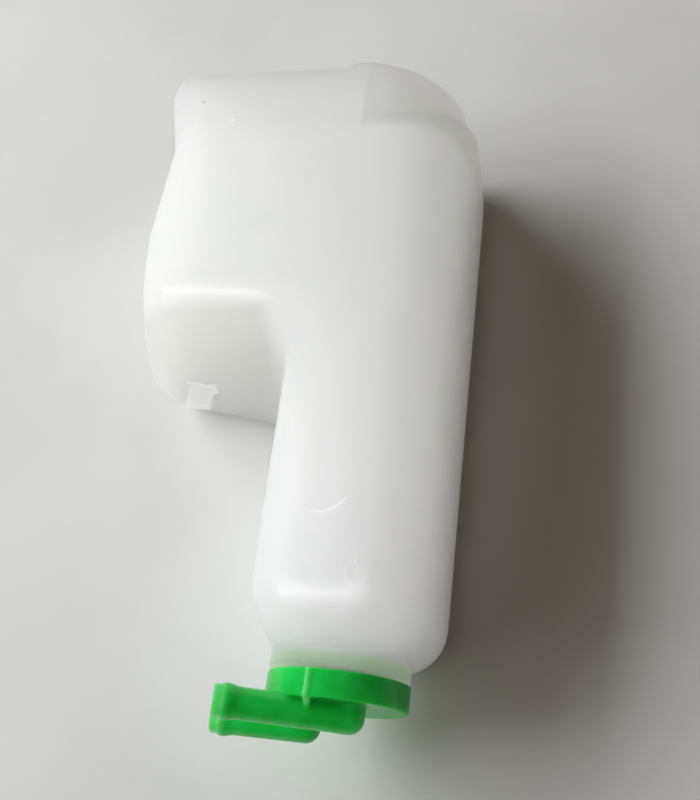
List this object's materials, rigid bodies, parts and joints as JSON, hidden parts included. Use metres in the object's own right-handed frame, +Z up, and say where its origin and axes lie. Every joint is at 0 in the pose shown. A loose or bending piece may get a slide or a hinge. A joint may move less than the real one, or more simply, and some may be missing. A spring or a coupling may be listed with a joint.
{
  "type": "coolant expansion tank",
  "caption": "Blow-moulded coolant expansion tank with a tall column, a side lobe, a push-on cap with elbow hose nipples and a dip tube.",
  "frame": {"origin": "on the neck axis, at the height of the underside of the foot", "axes": "+Z up along the neck axis, -Y out of the broad flat front, +X towards the lobe"},
  "size_m": [0.1128, 0.072, 0.2139],
  "materials": {
    "tank": "milky white, slightly glossy",
    "cap": "bright green, glossy",
    "seal": "matt black",
    "tube": "milky"
  },
  "bodies": {
    "tank": {"tank_body": "tank"},
    "cap": {"cap": "cap", "cap_seal": "seal", "dip_tube": "tube"}
  },
  "joints": [
    {"name": "cap_lift", "type": "slide", "parent": "tank", "child": "cap", "axis": [0, 0, 1], "range_m": [0, 0.2]}
  ]
}
